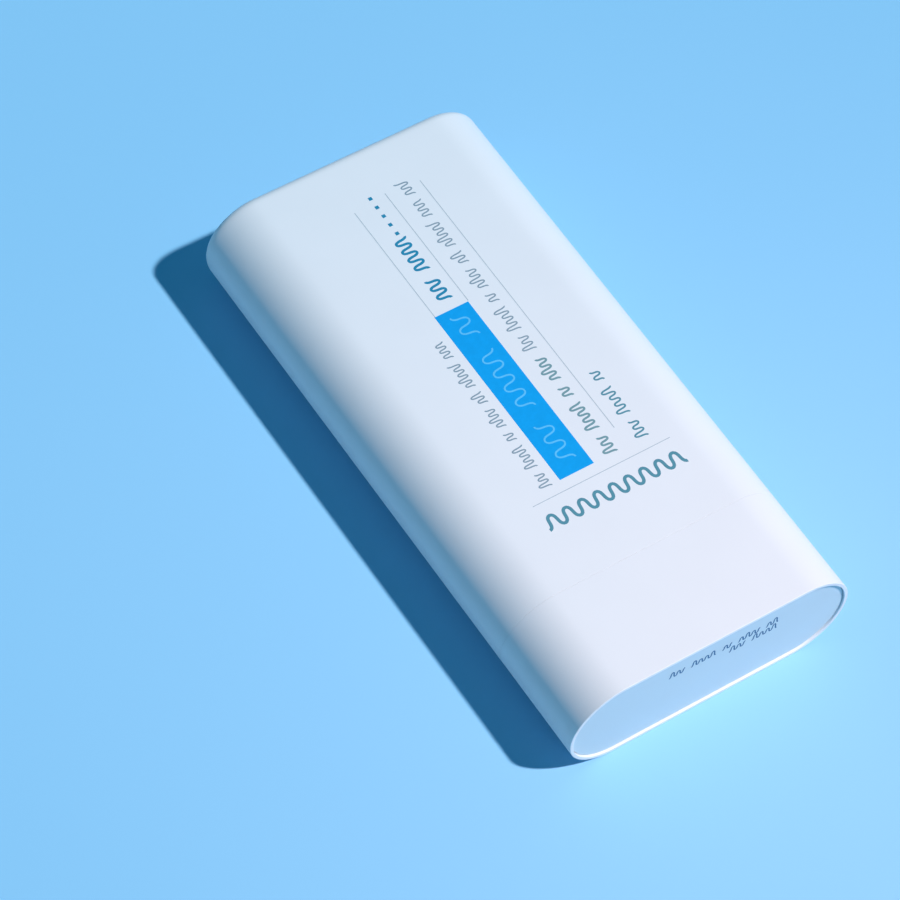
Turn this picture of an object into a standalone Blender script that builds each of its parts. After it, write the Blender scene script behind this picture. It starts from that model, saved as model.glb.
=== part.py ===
"""A flat twist-up sunscreen stick with its cap on, lying on its back.

The pack is modelled standing on its foot: X runs across its width, Y through its thickness with
the front at -Y, and Z along its length from the foot. Heights are called stations. One empty at the
end lays the pack down, with its length along +Y and its back on the ground. Lengths are in metres.

Each shell is the same section drawn in from the outer skin, so a piece is placed by its inset and
two stations.
"""

import math

import bmesh
import bpy
from mathutils import Matrix

# Outer form
WIDTH = 0.0440
THICKNESS = 0.0156
LENGTH = 0.0908
TOP_EDGE_RADIUS = 0.0020
ARC_STEPS = 12
ROUND_STEPS = 3

# Clearances
GAP = 0.0003
SEAM_GAP = 0.0002
LINER_GAP = 0.00015
WHEEL_TO_CAP_GAP = 0.00035
CUT_OVERRUN = 0.0010
MERGE_DISTANCE = 0.000001

# Foot: shell, ledge and end plate
FOOT_WALL = 0.0012
RIM_WALL = 0.00055
RIM_EDGE_RADIUS = 0.00015
RECESS_DEPTH = 0.0003
PLATE_THICKNESS = 0.0017
PLATE_EDGE_RADIUS = 0.00015
SPIGOT_WALL = 0.0009
LEDGE_THICKNESS = 0.0014
LEDGE_WIDTH = 0.0024
SEAM_STATION = 0.0163

# Cap: shell and liner
CAP_WALL = 0.0010
LINER_WALL = 0.0007
LINER_EDGE_RADIUS = 0.0012
LINER_ABOVE_BULKHEAD = 0.0016

# Barrel: shank in the foot, collar in the cap's mouth, windows, bulkhead and chamber
BARREL_WALL = 0.00085
SHANK_WALL = 0.0010
COLLAR_RISE = 0.0025
SHOULDER_THICKNESS = 0.0010
BULKHEAD_THICKNESS = 0.0019
SEAL_FLOOR = 0.0006
MOUTH_BELOW_TOP = 0.0128
MOUTH_EDGE_RADIUS = 0.0003
WINDOW_GAP = 0.0002

# Snap beads on the barrel and their grooves
BEAD_RISE = 0.00025
BEAD_WIDTH = 0.0008
BEAD_EDGE_RADIUS = 0.0002
GROOVE_DEPTH = 0.0002
GROOVE_WIDTH = 0.0014
SHANK_BEAD_BELOW_SEAM = 0.0070
COLLAR_BEAD_BELOW_TOP = 0.0011

# Bearing block in the shank
BLOCK_WALL = 0.0010
BLOCK_ROOF = 0.0020
BEARING_LENGTH = 0.0051
BEARING_WALL = 0.0016
RIB_THICKNESS = 0.0009
RIB_DEPTH = 0.0070
RIB_SPACING = 0.0088

# Thumb wheel and friction ring
WHEEL_THICKNESS = 0.0046
KNURL_COUNT = 36
KNURL_DEPTH = 0.00035
WHEEL_DISH_DEPTH = 0.0005
WHEEL_DISH_WALL = 0.0011
HEX_GAP = 0.00025
RING_RADIUS = 0.00042
RING_GAP = 0.00015
RING_LAND = 0.0005

# Spindle: barb, journals, hex, flange and thread
LOWER_JOURNAL_STEP = 0.0002
JOURNAL_STEP = 0.0004
FLANGE_STEP = 0.0009
FLANGE_THICKNESS = 0.0010
BARB_STEP = 0.0005
BARB_LENGTH = 0.0016
BARB_SLIT = 0.0008
BARB_SLIT_DEPTH = 0.0040
SEAL_RADIUS = 0.0004
SEAL_GAP = 0.0001
THREAD_LEAD = 0.0040
THREAD_DEPTH = 0.0007
THREAD_ROOT_WIDTH = 0.0013
THREAD_CREST_WIDTH = 0.0008
THREAD_RUN_OUT = 0.0009
THREAD_STEPS = 16
TURNED_STEPS = 24
SPINDLE_BELOW_CROWN = 0.0007

# Elevator dish, nut and balm
DISH_FLOOR = 0.0012
DISH_WALL = 0.0008
DISH_RIM_RISE = 0.0030
NUT_LENGTH = 0.0060
NUT_WALL = 0.0010
BALM_SKIN = 0.0007
BALM_HEIGHT = 0.0140
BALM_BELOW_MOUTH = 0.0030
BALM_EDGE_RADIUS = 0.0010
CROWN_RADIUS = 0.0450
CROWN_STEPS = 96
PRONG_WIDTH = 0.0012
PRONG_DEPTH = 0.0026
PRONG_RISE = 0.0050
PRONG_PLACES = (0.0080, 0.0130)

# Insets from the outer skin
liner_inset = CAP_WALL + LINER_GAP
barrel_inset = liner_inset + LINER_WALL + GAP
chamber_inset = barrel_inset + BARREL_WALL
balm_inset = chamber_inset + GAP
shank_inset = FOOT_WALL + GAP
shank_bore_inset = shank_inset + SHANK_WALL
block_inset = shank_bore_inset + GAP
ledge_inset = FOOT_WALL + LEDGE_WIDTH

# Radii, from the balm's half thickness inwards
nut_radius = THICKNESS / 2 - balm_inset - BALM_SKIN - GAP
crest_radius = nut_radius - NUT_WALL - GAP
core_radius = crest_radius - THREAD_DEPTH
journal_radius = crest_radius + JOURNAL_STEP
lower_journal_radius = crest_radius - LOWER_JOURNAL_STEP
barb_radius = lower_journal_radius + BARB_STEP
flange_radius = journal_radius + FLANGE_STEP
wheel_radius = THICKNESS / 2 - CAP_WALL - WHEEL_TO_CAP_GAP

# Stations, from the foot up
plate_high = RECESS_DEPTH + PLATE_THICKNESS
ledge_low = plate_high + GAP
ledge_high = ledge_low + LEDGE_THICKNESS
shank_low = ledge_high + GAP
foot_high = SEAM_STATION - SEAM_GAP / 2
cap_low = SEAM_STATION + SEAM_GAP / 2
collar_high = SEAM_STATION + COLLAR_RISE
shoulder_low = collar_high - SHOULDER_THICKNESS
block_high = shoulder_low - GAP
bearing_low = block_high - BEARING_LENGTH
wheel_low = collar_high + GAP
wheel_high = wheel_low + WHEEL_THICKNESS
bulkhead_low = wheel_high + GAP
bulkhead_high = bulkhead_low + BULKHEAD_THICKNESS
flange_low = bulkhead_high + GAP
flange_high = flange_low + FLANGE_THICKNESS
thread_low = flange_high + THREAD_RUN_OUT
mouth = LENGTH - MOUTH_BELOW_TOP
crown = mouth - BALM_BELOW_MOUTH
dish_top = crown - BALM_HEIGHT
dish_low = dish_top - DISH_FLOOR
dish_rim = dish_top + DISH_RIM_RISE
nut_high = dish_low + NUT_LENGTH
spindle_tip = crown - SPINDLE_BELOW_CROWN
liner_low = bulkhead_high + LINER_ABOVE_BULKHEAD
liner_high = LENGTH - CAP_WALL - GAP


def clear_scene():
    for item in list(bpy.data.objects):
        bpy.data.objects.remove(item, do_unlink=True)


def new_collection(name):
    found = bpy.data.collections.new(name)
    bpy.context.scene.collection.children.link(found)
    return found


def finish_of(name, colour, roughness, coat=0.0):
    """A Principled material with the colour and gloss of one moulding."""
    material = bpy.data.materials.new(name)
    material.use_nodes = True
    shader = material.node_tree.nodes["Principled BSDF"]
    shader.inputs["Base Color"].default_value = (*colour, 1)
    shader.inputs["Roughness"].default_value = roughness
    shader.inputs["Metallic"].default_value = 0
    shader.inputs["Coat Weight"].default_value = coat
    return material


def stadium(inset):
    """The pack's section drawn in from the outer skin: flat front and back, half-round sides."""
    radius = THICKNESS / 2 - inset
    reach = (WIDTH - THICKNESS) / 2
    outline = []
    for side in (1, -1):
        for step in range(ARC_STEPS + 1):
            angle = math.pi * (step / ARC_STEPS - 0.5 * side)
            outline.append((side * reach + radius * math.cos(angle), radius * math.sin(angle)))
    return outline


def ring_outline(radius, corners):
    """A regular outline with this many corners, all at one radius."""
    turns = [2 * math.pi * corner / corners for corner in range(corners)]
    return [(radius * math.cos(turn), radius * math.sin(turn)) for turn in turns]


def object_of(name, form):
    """Puts a bmesh into a new object, with its faces pointing out."""
    bmesh.ops.recalc_face_normals(form, faces=form.faces)
    mesh = bpy.data.meshes.new(name)
    form.to_mesh(mesh)
    form.free()
    item = bpy.data.objects.new(name, mesh)
    parts.objects.link(item)
    return item


def round_edges(form, face, radius):
    """Rounds every edge of one end face."""
    bmesh.ops.bevel(
        form,
        geom=list(face.edges),
        offset=radius,
        offset_type="OFFSET",
        segments=ROUND_STEPS,
        profile=0.5,
        affect="EDGES",
    )


def block(name, outline, low, high, low_round=0, high_round=0):
    """An outline drawn out from one station to another, with its end edges rounded."""
    form = bmesh.new()
    low_face = form.faces.new([form.verts.new((x, y, low)) for x, y in outline])
    raised = bmesh.ops.extrude_face_region(form, geom=[low_face])["geom"]
    corners = [item for item in raised if isinstance(item, bmesh.types.BMVert)]
    high_face = next(item for item in raised if isinstance(item, bmesh.types.BMFace))
    bmesh.ops.translate(form, verts=corners, vec=(0, 0, high - low))
    if low_round:
        round_edges(form, low_face, low_round)
    if high_round:
        round_edges(form, high_face, high_round)
    return object_of(name, form)


def cup(name, inset, wall, low, high, edge_radius):
    """A shell closed at the top: its outer surface is drawn down to the mouth, then given its wall."""
    form = bmesh.new()
    roof = form.faces.new([form.verts.new((x, y, high)) for x, y in stadium(inset)])
    skirt = bmesh.ops.extrude_edge_only(form, edges=list(roof.edges))["geom"]
    corners = [item for item in skirt if isinstance(item, bmesh.types.BMVert)]
    bmesh.ops.translate(form, verts=corners, vec=(0, 0, low - high))
    round_edges(form, roof, edge_radius)
    item = object_of(name, form)
    thicken = item.modifiers.new("wall", "SOLIDIFY")
    thicken.thickness = wall
    thicken.offset = -1
    thicken.use_even_offset = True
    return item


def turned(name, profile):
    """A profile of (radius, station) pairs, from the top down, turned about the pack's long axis."""
    mesh = bpy.data.meshes.new(name)
    edges = [(corner, corner + 1) for corner in range(len(profile) - 1)]
    mesh.from_pydata([(radius, 0, station) for radius, station in profile], edges, [])
    item = bpy.data.objects.new(name, mesh)
    parts.objects.link(item)
    turn = item.modifiers.new("turn", "SCREW")
    turn.axis = "Z"
    turn.steps = TURNED_STEPS
    turn.render_steps = TURNED_STEPS
    turn.use_merge_vertices = True
    turn.merge_threshold = MERGE_DISTANCE
    turn.use_normal_calculate = True
    return item


def cylinder(name, radius, low, high, x=0):
    """A plain round bar along the pack, for bores and bosses."""
    bpy.ops.mesh.primitive_cylinder_add(
        vertices=TURNED_STEPS, radius=radius, depth=high - low, location=(x, 0, (low + high) / 2)
    )
    item = bpy.context.object
    item.name = name
    move_to(item, parts)
    return item


def box(name, size, centre):
    """A cuboid whose size is in its mesh, so that later modifiers aren't stretched."""
    bpy.ops.mesh.primitive_cube_add(size=1, location=centre)
    item = bpy.context.object
    item.name = name
    item.data.transform(Matrix.Diagonal((*size, 1)))
    move_to(item, parts)
    return item


def ring(name, radius, tube_radius, station):
    """A round-section ring about the long axis."""
    bpy.ops.mesh.primitive_torus_add(
        major_radius=radius,
        minor_radius=tube_radius,
        major_segments=TURNED_STEPS,
        minor_segments=8,
        location=(0, 0, station),
    )
    item = bpy.context.object
    item.name = name
    move_to(item, parts)
    return item


def thread_ridge(name, foot_radius, top_radius, widen, low, turns):
    """A right-hand ridge of trapezoid section: one face spun round the axis while it climbs by the lead."""
    root = THREAD_ROOT_WIDTH / 2 + widen
    crest = THREAD_CREST_WIDTH / 2 + widen
    corners = (
        (foot_radius, low - root),
        (top_radius, low - crest),
        (top_radius, low + crest),
        (foot_radius, low + root),
    )
    start = math.pi / TURNED_STEPS / 2
    form = bmesh.new()
    form.faces.new(
        [form.verts.new((radius * math.cos(start), radius * math.sin(start), z)) for radius, z in corners]
    )
    bmesh.ops.spin(
        form,
        geom=form.verts[:] + form.edges[:] + form.faces[:],
        cent=(0, 0, 0),
        axis=(0, 0, 1),
        dvec=(0, 0, THREAD_LEAD / THREAD_STEPS),
        angle=turns * 2 * math.pi,
        steps=round(turns * THREAD_STEPS),
        use_duplicate=False,
    )
    return object_of(name, form)


def move_to(item, collection):
    for holder in list(item.users_collection):
        holder.objects.unlink(item)
    collection.objects.link(item)


def combine(item, helper, operation):
    """Adds one Boolean to a piece, and puts the shape that it uses away among the cutters."""
    move_to(helper, cutters)
    helper.hide_render = True
    helper.display_type = "WIRE"
    step = item.modifiers.new(helper.name, "BOOLEAN")
    step.operation = operation
    step.object = helper


def cut(item, *helpers):
    for helper in helpers:
        combine(item, helper, "DIFFERENCE")


def join(item, *helpers):
    for helper in helpers:
        combine(item, helper, "UNION")


def snap_bead(name, station):
    """A low bead round the barrel's shank, with both its edges eased."""
    outline = stadium(shank_inset - BEAD_RISE)
    half = BEAD_WIDTH / 2
    return block(name, outline, station - half, station + half, BEAD_EDGE_RADIUS, BEAD_EDGE_RADIUS)


def snap_groove(name, wall, station):
    """The cutter for the groove inside a wall that a bead snaps into."""
    half = GROOVE_WIDTH / 2
    return block(name, stadium(wall - GROOVE_DEPTH), station - half, station + half)


def make_foot_shell():
    """The foot: a short open tube with a rim at its end and a ledge that carries everything inside."""
    shell = block("foot_shell", stadium(0), 0, foot_high, low_round=RIM_EDGE_RADIUS)
    cut(
        shell,
        block("plate_pocket", stadium(RIM_WALL), -CUT_OVERRUN, ledge_low),
        block("ledge_opening", stadium(ledge_inset), 0, foot_high),
        block("shank_pocket", stadium(FOOT_WALL), ledge_high, foot_high + CUT_OVERRUN),
        snap_groove("shank_groove", FOOT_WALL, SEAM_STATION - SHANK_BEAD_BELOW_SEAM),
    )
    return shell


def make_foot_plate():
    """The plate set inside the rim, with a spigot that presses into the ledge's opening."""
    outline = stadium(RIM_WALL + GAP)
    plate = block("foot_plate", outline, RECESS_DEPTH, plate_high, low_round=PLATE_EDGE_RADIUS)
    spigot_inset = ledge_inset + GAP
    spigot_low = RECESS_DEPTH + PLATE_THICKNESS / 2
    core_inset = spigot_inset + SPIGOT_WALL
    join(plate, block("plate_spigot", stadium(spigot_inset), spigot_low, ledge_high))
    cut(plate, block("spigot_core", stadium(core_inset), plate_high, ledge_high + CUT_OVERRUN))
    return plate


def make_barrel():
    """Shank, collar, wheel bay, bulkhead and balm chamber in one moulding."""
    barrel = block("barrel", stadium(shank_inset), shank_low, collar_high)
    join(
        barrel,
        block("chamber_wall", stadium(barrel_inset), shoulder_low, mouth, high_round=MOUTH_EDGE_RADIUS),
        snap_bead("shank_bead", SEAM_STATION - SHANK_BEAD_BELOW_SEAM),
        snap_bead("collar_bead", collar_high - COLLAR_BEAD_BELOW_TOP),
    )
    window_size = (
        2 * (wheel_radius + GAP),
        THICKNESS,
        WHEEL_THICKNESS + 2 * WINDOW_GAP,
    )
    bore_radius = journal_radius + GAP
    gland_radius = journal_radius + 2 * (SEAL_RADIUS + SEAL_GAP) + SEAL_GAP
    gland_high = bulkhead_high + CUT_OVERRUN
    cut(
        barrel,
        block("shank_bore", stadium(shank_bore_inset), shank_low - CUT_OVERRUN, shoulder_low),
        block("wheel_bay", stadium(chamber_inset), shoulder_low - CUT_OVERRUN, bulkhead_low),
        block("balm_chamber", stadium(chamber_inset), bulkhead_high, mouth + CUT_OVERRUN),
        box("wheel_windows", window_size, (0, 0, (wheel_low + wheel_high) / 2)),
        cylinder("bulkhead_bore", bore_radius, bulkhead_low - CUT_OVERRUN, gland_high),
        cylinder("seal_gland", gland_radius, bulkhead_low + SEAL_FLOOR, gland_high),
    )
    return barrel


def make_bearing_block():
    """An inverted cup in the shank: its roof and boss carry the spindle, and ribs stiffen the boss."""
    block_body = block("bearing_block", stadium(block_inset), shank_low, block_high)
    land_inset = chamber_inset + GAP
    roof_low = block_high - BLOCK_ROOF
    bore_radius = lower_journal_radius + GAP
    wall_inset = block_inset + BLOCK_WALL
    cut(block_body, block("block_pocket", stadium(wall_inset), shank_low - CUT_OVERRUN, roof_low))
    rib_low = roof_low - RIB_DEPTH
    rib_reach = WIDTH - 2 * wall_inset + BLOCK_WALL
    rib_middle = (rib_low + block_high) / 2 - BLOCK_ROOF / 4
    rib_height = roof_low - rib_low + BLOCK_ROOF / 2
    join(
        block_body,
        block("block_land", stadium(land_inset), roof_low + BLOCK_ROOF / 2, collar_high),
        box("long_rib", (rib_reach, RIB_THICKNESS, rib_height), (0, 0, rib_middle)),
    )
    cross_reach = THICKNESS - 2 * wall_inset + BLOCK_WALL
    for place in (-1, 1):
        spot = (place * RIB_SPACING, 0, rib_middle)
        join(block_body, box("cross_rib", (RIB_THICKNESS, cross_reach, rib_height), spot))
    boss_radius = bore_radius + BEARING_WALL / 2
    join(block_body, cylinder("bearing_boss", boss_radius, bearing_low, block_high))
    gland_inner = bore_radius + RING_LAND
    gland_outer = gland_inner + 2 * (RING_RADIUS + RING_GAP)
    gland_low = collar_high - RING_RADIUS * 2
    gland_high = collar_high + CUT_OVERRUN
    gland = cylinder("ring_gland", gland_outer, gland_low, gland_high)
    core_ends = (gland_low - CUT_OVERRUN, gland_high + CUT_OVERRUN)
    cut(gland, cylinder("ring_gland_core", gland_inner, *core_ends))
    cut(
        block_body,
        cylinder("spindle_bearing", bore_radius, bearing_low - CUT_OVERRUN, gland_high),
        cylinder("barb_room", barb_radius + GAP, rib_low - CUT_OVERRUN, bearing_low),
        gland,
    )
    return block_body


def make_friction_ring():
    """The soft ring that keeps the wheel from turning back, in its gland in the bearing block."""
    inner = lower_journal_radius + GAP + RING_LAND + RING_GAP
    return ring("friction_ring", inner + RING_RADIUS, RING_RADIUS, collar_high + RING_GAP - RING_RADIUS)


def make_spindle_seal():
    """The seal ring round the spindle's journal, in the bulkhead's gland."""
    middle = bulkhead_low + SEAL_FLOOR + SEAL_GAP + SEAL_RADIUS
    return ring("spindle_seal", journal_radius + SEAL_GAP + SEAL_RADIUS, SEAL_RADIUS, middle)


def knurl_outline():
    """The wheel's edge: straight-sided ridges, each a quarter rise, crest, fall and root."""
    outline = []
    depths = (0, 0, KNURL_DEPTH, KNURL_DEPTH)
    for corner in range(KNURL_COUNT * len(depths)):
        turn = 2 * math.pi * corner / (KNURL_COUNT * len(depths))
        radius = wheel_radius - depths[corner % len(depths)]
        outline.append((radius * math.cos(turn), radius * math.sin(turn)))
    return outline


def make_thumb_wheel():
    """A knurled disc with a hex bore, drawn as one flat outline with a hole in it."""
    flat = bpy.data.curves.new("thumb_wheel_outline", "CURVE")
    flat.dimensions = "2D"
    flat.fill_mode = "BOTH"
    flat.extrude = WHEEL_THICKNESS / 2
    hex_corner = (crest_radius + HEX_GAP) / math.cos(math.pi / 6)
    for outline in (knurl_outline(), ring_outline(hex_corner, 6)):
        spline = flat.splines.new("POLY")
        spline.points.add(len(outline) - 1)
        spline.use_cyclic_u = True
        for point, (x, y) in zip(spline.points, outline):
            point.co = (x, y, 0, 1)
    outline_object = bpy.data.objects.new("thumb_wheel_outline", flat)
    outline_object.location = (0, 0, (wheel_low + wheel_high) / 2)
    parts.objects.link(outline_object)
    wheel = as_mesh("thumb_wheel", outline_object)
    dish_outer = wheel_radius - KNURL_DEPTH - WHEEL_DISH_WALL
    dish_inner = hex_corner + WHEEL_DISH_WALL
    dish = cylinder("wheel_dish", dish_outer, wheel_high - WHEEL_DISH_DEPTH, wheel_high + CUT_OVERRUN)
    cut(dish, cylinder("wheel_dish_core", dish_inner, wheel_low, wheel_high + 2 * CUT_OVERRUN))
    cut(wheel, dish)
    return wheel


def as_mesh(name, curve_object):
    """A curve made a mesh with its caps welded, so that it can be cut."""
    bpy.context.view_layer.update()
    graph = bpy.context.evaluated_depsgraph_get()
    mesh = bpy.data.meshes.new_from_object(curve_object.evaluated_get(graph))
    form = bmesh.new()
    form.from_mesh(mesh)
    bmesh.ops.remove_doubles(form, verts=form.verts, dist=MERGE_DISTANCE)
    form.to_mesh(mesh)
    form.free()
    item = bpy.data.objects.new(name, mesh)
    item.matrix_world = curve_object.matrix_world
    parts.objects.link(item)
    bpy.data.objects.remove(curve_object)
    return item


def make_spindle():
    """The lead screw: snap barb, lower journal, hex drive, sealed journal, flange and thread."""
    barb_high = bearing_low - GAP
    barb_low = barb_high - BARB_LENGTH
    tip_radius = core_radius - THREAD_DEPTH / 2
    profile = (
        (0, spindle_tip),
        (tip_radius, spindle_tip),
        (core_radius, spindle_tip - THREAD_DEPTH),
        (core_radius, flange_high),
        (flange_radius, flange_high),
        (flange_radius, flange_low),
        (journal_radius, flange_low),
        (journal_radius, wheel_high),
        (lower_journal_radius, wheel_high),
        (lower_journal_radius, barb_high),
        (barb_radius, barb_high),
        (barb_radius, barb_high - BARB_LENGTH / 3),
        (core_radius, barb_low),
        (0, barb_low),
    )
    spindle = turned("spindle", profile)
    step_rise = THREAD_LEAD / THREAD_STEPS
    turns = math.floor((spindle_tip - THREAD_RUN_OUT - thread_low) / step_rise) / THREAD_STEPS
    ridge_foot = core_radius - THREAD_DEPTH / 4
    ridge = thread_ridge("spindle_thread", ridge_foot, crest_radius, 0, thread_low, turns)
    hex_corner = crest_radius / math.cos(math.pi / 6)
    drive = block("hex_drive", ring_outline(hex_corner, 6), wheel_low - GAP / 2, wheel_high + JOURNAL_STEP)
    join(spindle, ridge, drive)
    slit_size = (BARB_SLIT, 4 * barb_radius, 2 * BARB_SLIT_DEPTH)
    cut(spindle, box("barb_slit", slit_size, (0, 0, barb_low)))
    return spindle


def make_elevator():
    """The dish under the balm, with the nut that climbs the thread and prongs that hold the balm."""
    dish = block("elevator", stadium(balm_inset), dish_low, dish_rim)
    cut(dish, block("dish_hollow", stadium(balm_inset + DISH_WALL), dish_top, dish_rim + CUT_OVERRUN))
    join(dish, cylinder("nut", nut_radius, dish_low + DISH_FLOOR / 2, nut_high))
    for prong in prongs("prong", 0):
        join(dish, prong)
    bore = cylinder("nut_bore", core_radius + GAP, dish_low - CUT_OVERRUN, nut_high + CUT_OVERRUN)
    first_turn = math.floor((dish_low - thread_low) / THREAD_LEAD) - 1
    ridge_low = thread_low + first_turn * THREAD_LEAD
    turns = math.ceil((nut_high - ridge_low) / THREAD_LEAD) + 1
    groove = thread_ridge("nut_thread", core_radius, crest_radius + GAP, GAP, ridge_low, turns)
    cut(dish, bore, groove)
    return dish


def prongs(name, widen):
    """The four prongs of the dish, or with a gap added the pockets that they leave in the balm."""
    made = []
    size = (PRONG_WIDTH + 2 * widen, PRONG_DEPTH + 2 * widen, PRONG_RISE + DISH_FLOOR / 2 + widen)
    middle = dish_top - DISH_FLOOR / 2 + size[2] / 2
    for place in PRONG_PLACES:
        for side in (-1, 1):
            made.append(box(name, size, (side * place, 0, middle)))
    return made


def make_balm():
    """The part-used stick of balm: a domed top, a foot inside the dish and the spindle's bore."""
    balm = block("balm", stadium(balm_inset), dish_rim + GAP, crown)
    dome = cylinder_across("balm_dome", CROWN_RADIUS, crown - CROWN_RADIUS)
    combine(balm, dome, "INTERSECT")
    ease = balm.modifiers.new("edges", "BEVEL")
    ease.width = BALM_EDGE_RADIUS
    ease.segments = ROUND_STEPS - 1
    ease.limit_method = "ANGLE"
    ease.angle_limit = math.radians(40)
    foot_inset = balm_inset + DISH_WALL + GAP
    join(balm, block("balm_foot", stadium(foot_inset), dish_top + GAP, dish_rim + DISH_RIM_RISE / 2))
    cut(
        balm,
        cylinder("balm_bore", crest_radius + GAP, dish_low, crown + CUT_OVERRUN),
        cylinder("nut_pocket", nut_radius + GAP, dish_low, nut_high + GAP),
    )
    cut(balm, *prongs("prong_pocket", GAP))
    return balm


def cylinder_across(name, radius, station):
    """A large cylinder lying through the pack from front to back, for the balm's domed top."""
    bpy.ops.mesh.primitive_cylinder_add(
        vertices=CROWN_STEPS,
        radius=radius,
        depth=THICKNESS,
        location=(0, 0, station),
        rotation=(math.pi / 2, 0, 0),
    )
    item = bpy.context.object
    item.name = name
    move_to(item, parts)
    return item


def make_cap_shell():
    """The outer cap, with a groove inside its mouth for the collar's bead."""
    shell = cup("cap_shell", 0, CAP_WALL, cap_low, LENGTH, TOP_EDGE_RADIUS)
    cut(shell, snap_groove("cap_groove", CAP_WALL, collar_high - COLLAR_BEAD_BELOW_TOP))
    return shell


def make_cap_liner():
    """The inner cap that closes over the barrel's mouth."""
    return cup("cap_liner", liner_inset, LINER_WALL, liner_low, liner_high, LINER_EDGE_RADIUS)


def carrier_for(name, parent=None):
    """An empty on the pack's long axis that carries the pieces of one moving body."""
    item = bpy.data.objects.new(name, None)
    item.parent = parent
    parts.objects.link(item)
    return item


clear_scene()
parts = new_collection("sunscreen_stick")
cutters = new_collection("cutters")

white_gloss = finish_of("white_gloss", (0.86, 0.89, 0.92), 0.28, coat=0.2)
white_satin = finish_of("white_satin", (0.84, 0.87, 0.90), 0.45)
natural_plastic = finish_of("natural_plastic", (0.80, 0.81, 0.78), 0.50)
wheel_plastic = finish_of("wheel_plastic", (0.62, 0.78, 0.88), 0.40)
clear_rubber = finish_of("clear_rubber", (0.70, 0.72, 0.72), 0.60)
balm_cream = finish_of("balm_cream", (0.78, 0.86, 0.74), 0.42)

lying_pack = carrier_for("lying_pack")
bodies = {
    "base": (
        (make_foot_shell, white_gloss),
        (make_foot_plate, white_satin),
        (make_bearing_block, natural_plastic),
        (make_barrel, white_satin),
        (make_friction_ring, clear_rubber),
        (make_spindle_seal, clear_rubber),
    ),
    "dial": (
        (make_thumb_wheel, wheel_plastic),
        (make_spindle, natural_plastic),
    ),
    "carrier": (
        (make_elevator, natural_plastic),
        (make_balm, balm_cream),
    ),
    "cap": (
        (make_cap_shell, white_gloss),
        (make_cap_liner, white_satin),
    ),
}
for body, pieces in bodies.items():
    body_axis = carrier_for(body + "_axis", lying_pack)
    for make, finish in pieces:
        piece = make()
        piece.data.materials.append(finish)
        piece.parent = body_axis

for helper in cutters.objects:
    helper.parent = lying_pack

lying_pack.location = (0, -LENGTH / 2, THICKNESS / 2)
lying_pack.rotation_euler = (-math.pi / 2, 0, 0)
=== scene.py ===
"""A flat twist-up sunscreen stick that lies on its back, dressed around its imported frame.

Every new surface, apart from the print's plain rectangles, is a function of two parameters on a grid
of points. One parameter runs round the pack's section or round its long axis, and the other runs
along a profile. Lengths are in metres. A station is a distance from the foot's end, along +Y.
"""

import math

import bmesh
import bpy
import numpy as np
from mathutils import Matrix, Vector


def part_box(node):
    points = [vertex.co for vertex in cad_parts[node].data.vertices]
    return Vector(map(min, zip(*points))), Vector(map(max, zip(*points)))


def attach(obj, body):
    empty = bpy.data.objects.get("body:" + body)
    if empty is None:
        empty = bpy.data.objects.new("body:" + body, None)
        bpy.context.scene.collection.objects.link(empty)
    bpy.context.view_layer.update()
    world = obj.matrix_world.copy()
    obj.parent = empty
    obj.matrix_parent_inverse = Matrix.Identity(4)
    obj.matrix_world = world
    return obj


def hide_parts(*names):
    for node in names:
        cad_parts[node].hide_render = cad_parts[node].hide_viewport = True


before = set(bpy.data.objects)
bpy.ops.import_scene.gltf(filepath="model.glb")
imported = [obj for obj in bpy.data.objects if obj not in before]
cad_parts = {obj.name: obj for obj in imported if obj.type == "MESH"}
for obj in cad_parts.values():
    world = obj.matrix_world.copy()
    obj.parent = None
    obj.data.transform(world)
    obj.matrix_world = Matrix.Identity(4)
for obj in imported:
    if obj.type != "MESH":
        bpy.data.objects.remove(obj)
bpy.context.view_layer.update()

# The view: the camera looks at a point near the middle of the pack
AIM = Vector((-0.0140, -0.0037, 0.0161))
CAMERA_AZIMUTH = math.radians(-39.105)
CAMERA_ELEVATION = math.radians(55.582)
CAMERA_ROLL = math.radians(-7.343)
CAMERA_DISTANCE = 0.5504
LENS_MM = 168
SENSOR_MM = 36

# The lamps: each direction points from the pack towards its lamp. The pool brightens the key's beam
KEY_DIRECTION = Vector((0.498, -0.495, 1.0))
KEY_STRENGTH = 2.92
KEY_COLOUR = (0.888, 0.945, 1.0)
KEY_SPREAD = math.radians(2.5)
POOL_AIM = Vector((0.032, -0.078, 0))
POOL_DISTANCE = 2.9
POOL_ANGLE = math.radians(4.9)
POOL_WATTS = 150
POOL_COLOUR = (1.0, 0.47, 0.42)
POOL_RADIUS = 0.063
POOL_BLEND = 1.0
FILL_DIRECTION = Vector((-1.0, 0.35, 0.14))
FILL_STRENGTH = 0.10
FILL_COLOUR = (1.0, 0.35, 0.05)
FILL_SPREAD = math.radians(14)
AMBIENT_COLOUR = (0.10, 0.625, 1.0)
AMBIENT_STRENGTH = 0.242

# The floor
FLOOR_REACH = 3.0
FLOOR_DROP = 0.00002
FLOOR_CLOUD = 0.12
FLOOR_COLOURS = ((0.284, 0.628, 0.913), (0.314, 0.653, 0.929))
FLOOR_ROUGHNESS = 0.7

# How finely the surfaces are divided
ARC_STEPS = 48
FLAT_STEPS = 24
ROUND_STEPS = 8
TURN_STEPS = 144
GUARD_SHARE = 0.3
WELD = 0.000002
SHARP_OVER = math.radians(35)

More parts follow.
